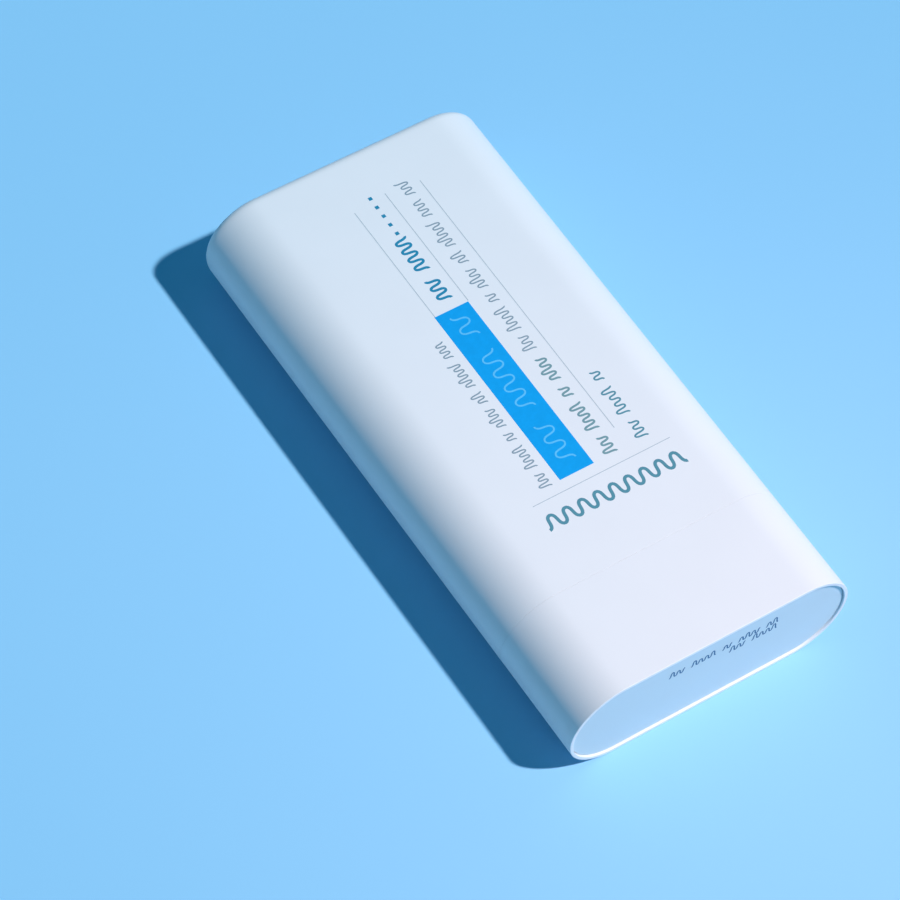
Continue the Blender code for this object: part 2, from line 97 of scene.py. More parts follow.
# Foot: shell, rim, snap groove and end plate
FOOT_WALL = 0.0012
RIM_WIDTH = 0.00055
RIM_OUTER_ROUND = 0.00008
RIM_INNER_ROUND = 0.00008
SEAM_HALF_WIDTH = 0.00001
SEAM_ROUND = 0.00003
LIP_ROUND = 0.00008
LEDGE_WIDTH = 0.0024
LEDGE_ROUND = 0.0002
GROOVE_DEPTH = 0.0002
GROOVE_WIDTH = 0.0014
FOOT_GROOVE_BELOW_SEAM = 0.0070
CAP_GROOVE_ABOVE_SEAM = 0.0014
PLATE_FIT = 0.00005
PLATE_ROUND = 0.00012
PLATE_THICKNESS = 0.0017
SPIGOT_WALL = 0.0009
GAP = 0.0003

# Cap and its liner
CAP_WALL = 0.0010
CAP_ROUND = 0.0015
LINER_WALL = 0.0007
LINER_ROUND = 0.0012

# Barrel
SHANK_INSET = 0.0015
SHANK_WALL = 0.0010
CHAMBER_WALL = 0.00085
CHAMBER_INSET = 0.00215
SHOULDER_THICKNESS = 0.0010
COLLAR_RISE = 0.0025
BEAD_RISE = 0.00025
BEAD_WIDTH = 0.0008
BEAD_FLAT_SHARE = 0.4
COLLAR_ROUND = 0.00025
MOUTH_ROUND = 0.0003
WINDOW_GAP = 0.0002
WINDOW_ROUND = 0.00012
WINDOW_SEGMENTS = 3
WINDOW_SIDE_STEPS = 8
WINDOW_SHARP_OVER = math.radians(50)
BULKHEAD_THICKNESS = 0.0019
GLAND_FLOOR = 0.0006
GLAND_RADIUS = 0.0037
BORE_RADIUS = 0.0029

# Thumb wheel
KNURL_COUNT = 36
KNURL_STEPS = 16
KNURL_DEPTH = 0.00035
KNURL_STEEPNESS = 1.5
WHEEL_ROUND = 0.0003
DISH_DEPTH = 0.0005
DISH_WALL = 0.0011
HEX_SIDES = 6
HEX_APOTHEM = 0.00245

# Lead screw
CREST_RADIUS = 0.0022
CORE_RADIUS = 0.0015
JOURNAL_RADIUS = 0.0026
LOWER_JOURNAL_RADIUS = 0.0020
FLANGE_RADIUS = 0.0035
FLANGE_THICKNESS = 0.0010
BARB_RADIUS = 0.0025
BARB_LENGTH = 0.0016
BARB_CONE_SHARE = 2 / 3
THREAD_LEAD = 0.0040
THREAD_ROWS = 40
THREAD_ROOT_HALF = 0.00065
THREAD_CREST_HALF = 0.0004
THREAD_RUN_OUT = 0.0009
THREAD_FADE = 0.0010
THREAD_START_TURN = 1 / 96
EDGE_ROUND = 0.00015

# Balm
BALM_ROUND = 0.0014
BALM_DOME_RADIUS = 0.0450
BALM_BORE_RADIUS = 0.0025
BALM_BORE_ROUND = 0.0004
BALM_USED_DEPTH = 0.0003
BALM_ROWS = 24
DISH_HEIGHT = 0.0042
NUT_LENGTH = 0.0060
NUT_POCKET_RADIUS = 0.0038

# Rings
FRICTION_RING_TUBE = 0.00042
SEAL_RING_TUBE = 0.0004
TUBE_STEPS = 24

# Print: places are distances from the pack's centre line and from the foot's end
INK_THICKNESS = 0.000012
BAND_X = (-0.0039, 0.0015)
BAND_STATIONS = (0.0307, 0.0610)
RULE_WIDTH = 0.00012

# A long rule is (x, start, end), and the cross rule is (station, left, right)
LONG_RULES = ((-0.0038, 0.0610, 0.0812), (0.0016, 0.0611, 0.0820), (0.0070, 0.0340, 0.0815))
CROSS_RULE = (0.0290, -0.0093, 0.0125)

# Dots and greeked words
DOT_SIZE = 0.00055
DOTS = (0.0754, 0.0771, 0.0788, 0.0805, 0.0822)
DOT_LINE = -0.0009
GOLDEN = 0.6180339887
WORDS = (5, 8, 3, 7, 4, 9, 6)
GAP_WAVES = 2.2
WAVE_STEPS = 10
WAVE_BEND = 0.75
TALL_SHARE = 0.3
TALL_WORD_STEP = 5
TALL_START = 0.2
MOST_WORDS = 30
ROW_SLACK = 1.06

# Rows of words: which way they run, base line, two ends, (height, tallest, pitch, stroke) and ink
ROWS = {
    "print_left": ("along", -0.0052, (0.0306, 0.0572), (0.0012, 0.0017, 0.00050, 0.00021), "grey"),
    "print_bold": ("along", 0.0000, (0.0627, 0.0745), (0.0018, 0.0018, 0.00078, 0.00040), "blue"),
    "print_right": ("along", 0.0053, (0.0500, 0.0826), (0.0013, 0.0019, 0.00053, 0.00021), "grey"),
    "print_right_bold": ("along", 0.0053, (0.0308, 0.0484), (0.0013, 0.0018, 0.00056, 0.00031), "green"),
    "print_short": ("along", 0.0103, (0.0308, 0.0430), (0.0012, 0.0017, 0.00052, 0.00026), "teal"),
    "print_pale": ("along", 0.0000, (0.0328, 0.0598), (0.0022, 0.0022, 0.00105, 0.00026), "pale"),
    "print_wide": ("across", 0.0248, (-0.0094, 0.0125), (0.0020, 0.0020, 0.00125, 0.00048), "teal"),
    "plate_row": ("plate", 0.0112, (-0.0069, 0.0104), (0.0009, 0.0012, 0.00042, 0.00022), "code"),
    "plate_low_row": ("plate", 0.0097, (0.0028, 0.0104), (0.0009, 0.0012, 0.00042, 0.00022), "code"),
}
SIGN_ROW = "print_wide"
BAND_ROW = "print_pale"

# Moulded plastic: sizes of its clouds, grit, flow waves and gloss patches, and how deep each goes
CLOUD_SIZE = 0.009
CLOUD_DEPTH = 0.04
GRIT_SIZE = 0.00022
FLOW_SIZE = 0.006
FLOW_STRETCH = (1, 3, 1)
FLOW_RELIEF = 0.00002
GLOSS_SIZE = 0.003
GLOSS_SPREAD = 0.10

# Ink: its gloss is (lowest roughness, what the noise adds), and its shade is a share of the colour
MOTTLE_SIZE = 0.0008
MOTTLE_RANGE = (0.3, 0.75)
MOTTLE_SHADE = 0.94
MOTTLE_RELIEF = 0.000003
INK_GLOSS_SIZE = 0.0004
INK_GLOSS = (0.50, 0.12)
INK_SPECULAR = 0.15

# The balm's wax, with its gloss given like the ink's
STREAK_SIZE = 0.0005
STREAK_STRETCH = (12, 1, 1)
STREAK_RELIEF = 0.00006
WAX_CLOUD_SIZE = 0.004
PIT_SIZE = 0.0011
PIT_RANGE = (0.24, 0.32)
PIT_RELIEF = 0.00008
WAX_GLOSS = (0.36, 0.16)
WAX_GLOW = 0.35
WAX_GLOW_RADIUS = (0.9, 1.0, 0.8)
WAX_GLOW_SCALE = 0.0012

# The Mix node's two colour sockets and its colour output
MIX_FIRST = 6
MIX_SECOND = 7
MIX_RESULT = 2

# The frame's own sizes
foot_low, foot_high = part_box("foot_shell")
cap_low, cap_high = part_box("cap_shell")
plate_low, plate_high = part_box("foot_plate")
liner_low, liner_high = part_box("cap_liner")
barrel_low, barrel_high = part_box("barrel")
wheel_low, wheel_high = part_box("thumb_wheel")
spindle_low, spindle_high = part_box("spindle")
balm_low, balm_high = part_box("balm")
dish_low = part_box("elevator")[0]
ring_low, ring_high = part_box("friction_ring")
seal_low, seal_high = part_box("spindle_seal")
half = (cap_high.z - cap_low.z) / 2
axis_z = (cap_high.z + cap_low.z) / 2
reach = (cap_high.x - cap_low.x) / 2 - half
front = cap_high.z
foot_end = foot_low.y


def station(y):
    """A place along +Y as a distance from the foot's end."""
    return y - foot_end


seam = station((foot_high.y + cap_low.y) / 2)
pack_length = station(cap_high.y)


def unit(vector):
    """The vector drawn out or in to length 1."""
    return vector / np.linalg.norm(vector)


def eased(share):
    """A share from 0 to 1 with a level start and end: 3 s squared less 2 s cubed."""
    share = np.clip(share, 0, 1)
    return share * share * (3 - 2 * share)


def rounded(corners, closed=False):
    """A profile's corners (inset or radius, station, rounding) as one line of points.

    Each rounded corner gives way to an arc that touches both its sides. The arc's directions from
    its centre are a spherical blend of those to the two touching points, and one guard point stands
    a little way out on each side, so that the flats beside it shade flat.
    """
    points = np.array([corner[:2] for corner in corners], float)
    before, after = np.roll(points, 1, axis=0), np.roll(points, -1, axis=0)
    share = np.linspace(0, 1, ROUND_STEPS + 1)[:, None]
    line = []
    for place, (point, (*_, radius)) in enumerate(zip(points, corners)):
        if radius == 0 or (not closed and place in (0, len(points) - 1)):
            line.append(point[None])
            continue
        back, on = unit(before[place] - point), unit(after[place] - point)
        half_angle = math.acos(np.clip(back @ on, -1, 1)) / 2
        touch = radius / math.tan(half_angle)
        turn = math.pi - 2 * half_angle
        centre = point + unit(back + on) * radius / math.sin(half_angle)
        first, last = (point + back * touch - centre) / radius, (point + on * touch - centre) / radius
        arc = (np.sin((1 - share) * turn) * first + np.sin(share * turn) * last) / math.sin(turn)
        guard = touch + GUARD_SHARE * radius
        line += [(point + back * guard)[None], centre + radius * arc, (point + on * guard)[None]]
    return np.vstack(line)


def section(flat_places=None):
    """Once round the pack's section: the spine's x and the outward turn of each column of points.

    The front flat runs towards +X at a quarter turn, the right side falls through half a circle, the
    back flat runs back, and the left side rises through the other half.
    """
    places = np.linspace(-reach, reach, FLAT_STEPS + 1) if flat_places is None else flat_places
    side = np.linspace(0, math.pi, ARC_STEPS + 1)[1:-1]
    spine = np.concatenate([places, np.full(side.size, reach), places[::-1], np.full(side.size, -reach)])
    quarter = np.full(places.size, math.pi / 2)
    turn = np.concatenate([quarter, math.pi / 2 - side, -quarter, -math.pi / 2 - side])
    return spine, turn


def carried(profile, outline=None, circle=None):
    """The section's outline carried along a profile of (inset, station) points.

    x = spine + (half - inset) cos(turn), z = axis + (half - inset) sin(turn), y = foot end + station.
    A circle of (share, radius) pairs, one for each point of the profile, makes the outline go over by
    that share into a circle about the long axis, with each column kept at its own angle.
    """
    spine, turn = section() if outline is None else outline
    inset, along = profile[:, :1], profile[:, 1:2]
    share, radius = (0, 0) if circle is None else (circle[:, :1], circle[:, 1:2])
    angle = np.arctan2(half * np.sin(turn), spine + half * np.cos(turn))
    x = (1 - share) * (spine + (half - inset) * np.cos(turn)) + share * radius * np.cos(angle)
    z = (1 - share) * (half - inset) * np.sin(turn) + share * radius * np.sin(angle)
    return np.stack([x, foot_end + along + 0 * x, axis_z + z], axis=-1)


def turned(profile, steps=TURN_STEPS, radius_change=None):
    """A profile of (radius, station) points turned about the long axis.

    x = r cos(2 pi u), z = axis - r sin(2 pi u), y = foot end + station. radius_change is taken off r
    and may differ at every point of the grid.
    """
    angle = 2 * math.pi * np.arange(steps) / steps
    radius = profile[:, :1] + 0 * angle - (0 if radius_change is None else radius_change)
    along = foot_end + profile[:, 1:2] + 0 * angle
    return np.stack([radius * np.cos(angle), along, axis_z - radius * np.sin(angle)], axis=-1)


def hexagon(apothem, turn):
    """A hexagon's radius at a share of a turn, with a corner at 0: apothem / cos(turn from the flat)."""
    sector = (HEX_SIDES * turn) % 1 - 0.5
    return apothem / np.cos(sector * 2 * math.pi / HEX_SIDES)


def grid_faces(rows, columns, closed_rows=False, closed_columns=True):
    """The four-cornered faces of a grid of points, which may close on itself either way."""
    row = np.arange(rows if closed_rows else rows - 1)[:, None]
    column = np.arange(columns if closed_columns else columns - 1)[None, :]
    next_row, next_column = (row + 1) % rows, (column + 1) % columns
    corners = [
        row * columns + column,
        row * columns + next_column,
        next_row * columns + next_column,
        next_row * columns + column,
    ]
    return np.stack(np.broadcast_arrays(*corners), axis=-1).reshape(-1, 4)


def piece(name, points, faces):
    """One closed mesh from grid points: doubles are merged, and the faces turned outwards."""
    mesh = bpy.data.meshes.new(name)
    mesh.from_pydata(points.reshape(-1, 3).tolist(), [], faces.tolist())
    form = bmesh.new()
    form.from_mesh(mesh)
    bmesh.ops.remove_doubles(form, verts=form.verts, dist=WELD)
    bmesh.ops.recalc_face_normals(form, faces=form.faces)
    form.to_mesh(mesh)
    form.free()
    mesh.shade_smooth()
    mesh.set_sharp_from_angle(angle=SHARP_OVER)
    item = bpy.data.objects.new(name, mesh)
    bpy.context.scene.collection.objects.link(item)
    return item


def shell(name, corners, closed):
    """A piece whose section is the pack's, from the corners of its profile."""
    points = carried(rounded(corners, closed))
    return piece(name, points, grid_faces(*points.shape[:2], closed_rows=closed))


def dress(item, body, slot, finish, *nodes):
    """Gives a piece its finish and the body that it rides on, and hides the nodes that it stands for. The
    slot is not used.
    """
    item.data.materials.append(finish)
    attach(item, body)
    if nodes:
        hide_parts(*nodes)
    return item


class Field:
    """One number, colour or vector at every point of a surface. + and * add their Math nodes."""

    def __init__(self, finish, socket):
        self.finish = finish
        self.socket = socket

    def worked_out(self, operation, other):
        return self.finish.node("ShaderNodeMath", {"operation": operation}, {0: self, 1: other})

    def __add__(self, other):
        return self.worked_out("ADD", other)

    def __mul__(self, other):
        return self.worked_out("MULTIPLY", other)

    __radd__ = __add__
    __rmul__ = __mul__


class Finish:
    """A procedural material on Object coordinates, worked out in one Principled BSDF."""

    def __init__(self, name):
        self.material = bpy.data.materials.new(name)
        self.material.use_nodes = True
        self.tree = self.material.node_tree
        self.shader = self.tree.nodes["Principled BSDF"]
        self.place = self.node("ShaderNodeTexCoord", output="Object")

    def node(self, kind, settings=None, sockets=None, output=0):
        """Adds a node, with its settings first and then its sockets' values or links."""
        made = self.tree.nodes.new(kind)
        for setting, value in (settings or {}).items():
            setattr(made, setting, value)
        for key, value in (sockets or {}).items():
            self.feed(made.inputs[key], value)
        return Field(self, made.outputs[output])

    def feed(self, socket, value):
        """Links a field to a socket, or sets the socket to a plain value."""
        if isinstance(value, Field):
            self.tree.links.new(value.socket, socket)
        else:
            socket.default_value = value

    def noise(self, size, detail=2.0, stretch=(1, 1, 1)):
        """Noise from 0 to 1 whose spots are about this size, in metres, and may be drawn out."""
        scale = tuple(1 / (size * share) for share in stretch)
        spread = self.node("ShaderNodeMapping", None, {"Vector": self.place, "Scale": scale})
        return self.node("ShaderNodeTexNoise", None, {"Vector": spread, "Scale": 1.0, "Detail": detail})

    def ramp(self, field, low, high):
        """Eases from 0 to 1 while the field goes from low to high."""
        sockets = {"Value": field, "From Min": low, "From Max": high}
        return self.node("ShaderNodeMapRange", {"interpolation_type": "SMOOTHSTEP"}, sockets)

    def mix(self, share, first, second):
        """A blend of two colours."""
        colours = [c if isinstance(c, Field) else (*c, 1) for c in (first, second)]
        sockets = {0: share, MIX_FIRST: colours[0], MIX_SECOND: colours[1]}
        return self.node("ShaderNodeMix", {"data_type": "RGBA"}, sockets, MIX_RESULT)

    def bump(self, height, distance, under=None):
        """A relief that is this deep, in metres, where height goes from 0 to 1."""
        sockets = {"Height": height, "Distance": distance}
        if under is not None:
            sockets["Normal"] = under
        return self.node("ShaderNodeBump", None, sockets)

    def surface(self, **sockets):
        """Feeds the shader's sockets, named with _ for a space, and returns the material."""
        for name, value in sockets.items():
            self.feed(self.shader.inputs[name.replace("_", " ").title()], value)
        return self.material


def moulded(name, colour, roughness, grain, **uniform):
    """Moulded plastic: one colour with faint clouds, a fine eroded grain and slow flow waves."""
    finish = Finish(name)
    clouds = finish.noise(CLOUD_SIZE, detail=3.0)
    darker = tuple(channel * (1 - CLOUD_DEPTH) for channel in colour)
    grit = finish.noise(GRIT_SIZE)
    flow = finish.noise(FLOW_SIZE, detail=1.0, stretch=FLOW_STRETCH)
    relief = finish.bump(flow, FLOW_RELIEF, finish.bump(grit, grain))
    gloss = roughness - GLOSS_SPREAD / 2 + GLOSS_SPREAD * finish.noise(GLOSS_SIZE, detail=4.0)
    base = finish.mix(clouds, darker, colour)
    return finish.surface(base_color=base, roughness=gloss, normal=relief, **uniform)


def printed(name, colour):
    """Screen ink: a matt, even colour with faint mottling in its tone and its gloss."""
    finish = Finish(name)
    mottle = finish.noise(MOTTLE_SIZE, detail=3.0)
    deep = tuple(channel * MOTTLE_SHADE for channel in colour)
    base = finish.mix(finish.ramp(mottle, *MOTTLE_RANGE), deep, colour)
    gloss = INK_GLOSS[0] + INK_GLOSS[1] * finish.noise(INK_GLOSS_SIZE)
    relief = finish.bump(mottle, MOTTLE_RELIEF)
    finish.shader.inputs["Specular IOR Level"].default_value = INK_SPECULAR
    return finish.surface(base_color=base, roughness=gloss, normal=relief)


def waxy(name, colour, pale):
    """Balm: a soft waxy body with swipe streaks across it and a few small pits."""
    finish = Finish(name)
    streaks = finish.noise(STREAK_SIZE, detail=3.0, stretch=STREAK_STRETCH)
    clouds = finish.noise(WAX_CLOUD_SIZE)
    pits = finish.ramp(finish.noise(PIT_SIZE, detail=1.0), *PIT_RANGE)
    base = finish.mix(clouds, colour, pale)
    relief = finish.bump(pits, PIT_RELIEF, finish.bump(streaks, STREAK_RELIEF))
    gloss = WAX_GLOSS[0] + WAX_GLOSS[1] * streaks
    glow = {
        "subsurface_weight": WAX_GLOW,
        "subsurface_radius": WAX_GLOW_RADIUS,
        "subsurface_scale": WAX_GLOW_SCALE,
    }
    return finish.surface(base_color=base, roughness=gloss, normal=relief, **glow)


shell_white = moulded("shell_white", (0.86, 0.885, 0.915), roughness=0.40, grain=0.000004)
# The end plate is the shell's white plastic, painted darker and bluer: painted shade and painted blue
# bounce light from the floor
plate_white_painted_shade = moulded("plate_white_painted_shade", (0.59, 0.74, 0.815), roughness=0.44, grain=0.000008)
inner_white = moulded("inner_white", (0.83, 0.855, 0.885), roughness=0.46, grain=0.000006)
milky = moulded("milky_plastic", (0.80, 0.81, 0.78), roughness=0.42, grain=0.000006, subsurface_weight=0.2)
wheel_blue = moulded("wheel_blue", (0.34, 0.58, 0.76), roughness=0.42, grain=0.000008)
silicone = moulded("silicone", (0.66, 0.68, 0.68), roughness=0.50, grain=0.000004, subsurface_weight=0.3)
balm_green = waxy("balm_green", (0.56, 0.76, 0.62), (0.66, 0.83, 0.71))
inks = {
    "band": printed("ink_band", (0.0035, 0.38, 0.86)),
    "blue": printed("ink_blue", (0.02, 0.27, 0.45)),
    "grey": printed("ink_grey", (0.26, 0.36, 0.43)),
    "green": printed("ink_green", (0.19, 0.35, 0.39)),
    "teal": printed("ink_teal", (0.10, 0.30, 0.38)),
    "pale": printed("ink_pale", (0.12, 0.56, 0.93)),
    "rule": printed("ink_rule", (0.50, 0.58, 0.63)),
    "code": printed("ink_code", (0.06, 0.18, 0.34)),
}


def make_foot():
    """The foot's shell: a tube with a thin rim at its end, a ledge inside and a snap groove."""
    top = seam - SEAM_HALF_WIDTH
    groove = seam - FOOT_GROOVE_BELOW_SEAM
    ledge_low = station(plate_low.y) + PLATE_THICKNESS + GAP
    inner = FOOT_WALL
    shelf = station(barrel_low.y) - GAP
    corners = [
        (0, 0, RIM_OUTER_ROUND),
        (0, top, SEAM_ROUND),
        (inner, top, LIP_ROUND),
        (inner, groove + GROOVE_WIDTH / 2, 0),
        (inner - GROOVE_DEPTH, groove + GROOVE_WIDTH / 2, 0),
        (inner - GROOVE_DEPTH, groove - GROOVE_WIDTH / 2, 0),
        (inner, groove - GROOVE_WIDTH / 2, 0),
        (inner, shelf, 0),
        (inner + LEDGE_WIDTH, shelf, LEDGE_ROUND),
        (inner + LEDGE_WIDTH, ledge_low, LEDGE_ROUND),
        (RIM_WIDTH, ledge_low, 0),
        (RIM_WIDTH, 0, RIM_INNER_ROUND),
    ]
    return dress(shell("foot_moulding", corners, True), "base", "white_shell", shell_white, "foot_shell")


def make_plate():
    """The end plate, set a little way inside the rim, with the spigot that holds it."""
    low = station(plate_low.y)
    high = station(plate_high.y)
    back = low + PLATE_THICKNESS
    edge = RIM_WIDTH + PLATE_FIT
    outer = FOOT_WALL + LEDGE_WIDTH + PLATE_FIT
    corners = [
        (half, low, 0),
        (edge, low, PLATE_ROUND),
        (edge, back, PLATE_ROUND),
        (outer, back, 0),
        (outer, high, PLATE_ROUND),
        (outer + SPIGOT_WALL, high, PLATE_ROUND),
        (outer + SPIGOT_WALL, back, 0),
        (half, back, 0),
    ]
    # The plate's finish carries painted shade: a darker, bluer copy of the shell's white
    return dress(shell("end_plate", corners, False), "base", "white_shell", plate_white_painted_shade, "foot_plate")


def make_cap():
    """The outer cap: closed at the far end with a soft edge, open at the seam, grooved inside."""
    mouth = seam + SEAM_HALF_WIDTH
    groove = seam + CAP_GROOVE_ABOVE_SEAM
    corners = [
        (half, pack_length, 0),
        (0, pack_length, CAP_ROUND),
        (0, mouth, SEAM_ROUND),
        (CAP_WALL, mouth, LIP_ROUND),
        (CAP_WALL, groove - GROOVE_WIDTH / 2, 0),
        (CAP_WALL - GROOVE_DEPTH, groove - GROOVE_WIDTH / 2, 0),
        (CAP_WALL - GROOVE_DEPTH, groove + GROOVE_WIDTH / 2, 0),
        (CAP_WALL, groove + GROOVE_WIDTH / 2, 0),
        (CAP_WALL, pack_length - CAP_WALL, CAP_ROUND - CAP_WALL),
        (half, pack_length - CAP_WALL, 0),
    ]
    return dress(shell("cap_moulding", corners, False), "cap", "white_shell", shell_white, "cap_shell")


def make_liner():
    """The cap's liner: a second, thinner cap that closes over the barrel's mouth."""
    inset = liner_low.x - cap_low.x
    low, high = station(liner_low.y), station(liner_high.y)
    corners = [
        (half, high, 0),
        (inset, high, LINER_ROUND),
        (inset, low, LIP_ROUND),
        (inset + LINER_WALL, low, LIP_ROUND),
        (inset + LINER_WALL, high - LINER_WALL, LINER_ROUND - LINER_WALL),
        (half, high - LINER_WALL, 0),
    ]
    return dress(shell("liner_moulding", corners, False), "cap", "white_inner", inner_white, "cap_liner")


def make_barrel():
    """Shank, collar, wheel windows, bulkhead and chamber in one loop of profile.

    The loop climbs the outside, comes down the chamber, goes over into the bore's circle at the
    bulkhead and comes back out below it. The cells of each window are left out of both walls, and
    four rows of faces join the two openings.
    """
    low, mouth = station(barrel_low.y), station(barrel_high.y)
    collar = seam + COLLAR_RISE
    shoulder = collar - SHOULDER_THICKNESS
    window = (station(wheel_low.y) - WINDOW_GAP, station(wheel_high.y) + WINDOW_GAP)
    bulkhead = (station(wheel_high.y) + GAP, station(wheel_high.y) + GAP + BULKHEAD_THICKNESS)
    inner = CHAMBER_INSET + CHAMBER_WALL
    bore_of_shank = SHANK_INSET + SHANK_WALL
    beads = []
    for middle in (seam - FOOT_GROOVE_BELOW_SEAM, seam + CAP_GROOVE_ABOVE_SEAM):
        for side, rise in ((-1, 0), (-BEAD_FLAT_SHARE, 1), (BEAD_FLAT_SHARE, 1), (1, 0)):
            beads.append((SHANK_INSET - rise * BEAD_RISE, middle + side * BEAD_WIDTH / 2, 0))
    outside = [
        (SHANK_INSET, low, EDGE_ROUND),
        *beads,
        (SHANK_INSET, collar, COLLAR_ROUND),
        (CHAMBER_INSET, collar, 0),
        (CHAMBER_INSET, window[0], 0),
        (CHAMBER_INSET, window[1], 0),
        (CHAMBER_INSET, mouth, MOUTH_ROUND),
        (inner, mouth, MOUTH_ROUND),
        (inner, bulkhead[1], 0),
    ]
    bore = [
        (GLAND_RADIUS, bulkhead[1], 0),
        (GLAND_RADIUS, bulkhead[0] + GLAND_FLOOR, 0),
        (BORE_RADIUS, bulkhead[0] + GLAND_FLOOR, 0),
        (BORE_RADIUS, bulkhead[0], 0),
    ]
    below = [
        (inner, bulkhead[0], 0),
        (inner, window[1], 0),
        (inner, window[0], 0),
        (inner, shoulder, 0),
        (bore_of_shank, shoulder, 0),
        (bore_of_shank, low, 0),
    ]
    before = rounded(outside + bore[:1])[:-1]
    bore_line, after = np.array(bore)[:, :2], np.array(below)[:, :2]
    profile = np.vstack([before, bore_line, after])
    in_bore = np.repeat([0, 1, 0], [len(before), len(bore), len(after)])
    width = wheel_high.z - axis_z + GAP
    sides = np.linspace(width, reach, WINDOW_SIDE_STEPS + 1)
    flat = np.concatenate([-sides[::-1], np.linspace(-width, width, FLAT_STEPS + 1)[1:-1], sides])
    points = carried(profile, section(flat), np.stack([in_bore, profile[:, 0]], axis=-1))
    rows, columns = points.shape[:2]
    first = int(np.argmin(np.abs(flat + width)))
    last = int(np.argmin(np.abs(flat - width)))
    back_start = flat.size + ARC_STEPS - 1
    spans = (np.arange(first, last), back_start + np.arange(flat.size - 1 - last, flat.size - 1 - first))

    def row_at(inset, height):
        return int(np.argmin(np.hypot(profile[:, 0] - inset, profile[:, 1] - height)))

    out_low, out_high = row_at(CHAMBER_INSET, window[0]), row_at(CHAMBER_INSET, window[1])
    in_low, in_high = row_at(inner, window[0]), row_at(inner, window[1])
    keep = np.ones((rows, columns), bool)
    jambs = []
    for span in spans:
        keep[np.ix_([out_low, in_high], span)] = False
        for outer_row, inner_row in ((out_low, in_low), (out_high, in_high)):
            one, two = outer_row * columns + span, inner_row * columns + span
            jambs.append(np.stack([one, one + 1, two + 1, two], axis=-1))
        for column in (span[0], span[-1] + 1):
            corner_rows = np.array([[out_low, out_high, in_high, in_low]])
            jambs.append(corner_rows * columns + column)
    faces = grid_faces(rows, columns, closed_rows=True)[keep.ravel()]
    item = piece("barrel_moulding", points, np.vstack([faces, *jambs]))
    ease = item.modifiers.new("window_edges", "BEVEL")
    ease.width = WINDOW_ROUND
    ease.segments = WINDOW_SEGMENTS
    ease.limit_method = "ANGLE"
    ease.angle_limit = WINDOW_SHARP_OVER
    ease.use_clamp_overlap = True
    return dress(item, "base", "white_inner", inner_white, "barrel")


def make_wheel():
    """The thumb wheel: a turned disc whose edge ripples and whose bore goes over into a hexagon.

    The edge's radius loses knurl depth times an eased, flattened cosine of the turn, faded out towards
    the dish, and the bore's radius is the hexagon's: apothem / cos(angle from the flat).
    """
    radius = wheel_high.z - axis_z
    low, high = station(wheel_low.y), station(wheel_high.y)
    floor = high - DISH_DEPTH
    dish_outer = radius - KNURL_DEPTH - DISH_WALL
    hex_corner = HEX_APOTHEM / math.cos(math.pi / HEX_SIDES)
    dish_inner = hex_corner + DISH_WALL
    corners = [
        (hex_corner, low, EDGE_ROUND),
        (radius, low, WHEEL_ROUND),
        (radius, high, WHEEL_ROUND),
        (dish_outer, high, EDGE_ROUND),
        (dish_outer, floor, EDGE_ROUND),
        (dish_inner, floor, EDGE_ROUND),
        (dish_inner, high, EDGE_ROUND),
        (hex_corner, high, EDGE_ROUND),
    ]
    profile = rounded(corners, True)
    steps = KNURL_COUNT * KNURL_STEPS
    turn = np.arange(steps) / steps
    ripple = eased(0.5 + KNURL_STEEPNESS / 2 * np.cos(2 * math.pi * KNURL_COUNT * turn))
    on_edge = eased((profile[:, :1] - dish_outer) / (radius - KNURL_DEPTH - dish_outer))
    in_bore = eased((dish_inner - profile[:, :1]) / (dish_inner - hex_corner))
    change = on_edge * KNURL_DEPTH * ripple + in_bore * (hex_corner - hexagon(HEX_APOTHEM, turn))
    points = turned(profile, steps, change)
    item = piece("knurled_wheel", points, grid_faces(*points.shape[:2], closed_rows=True))
    return dress(item, "dial", "wheel_plastic", wheel_blue, "thumb_wheel")


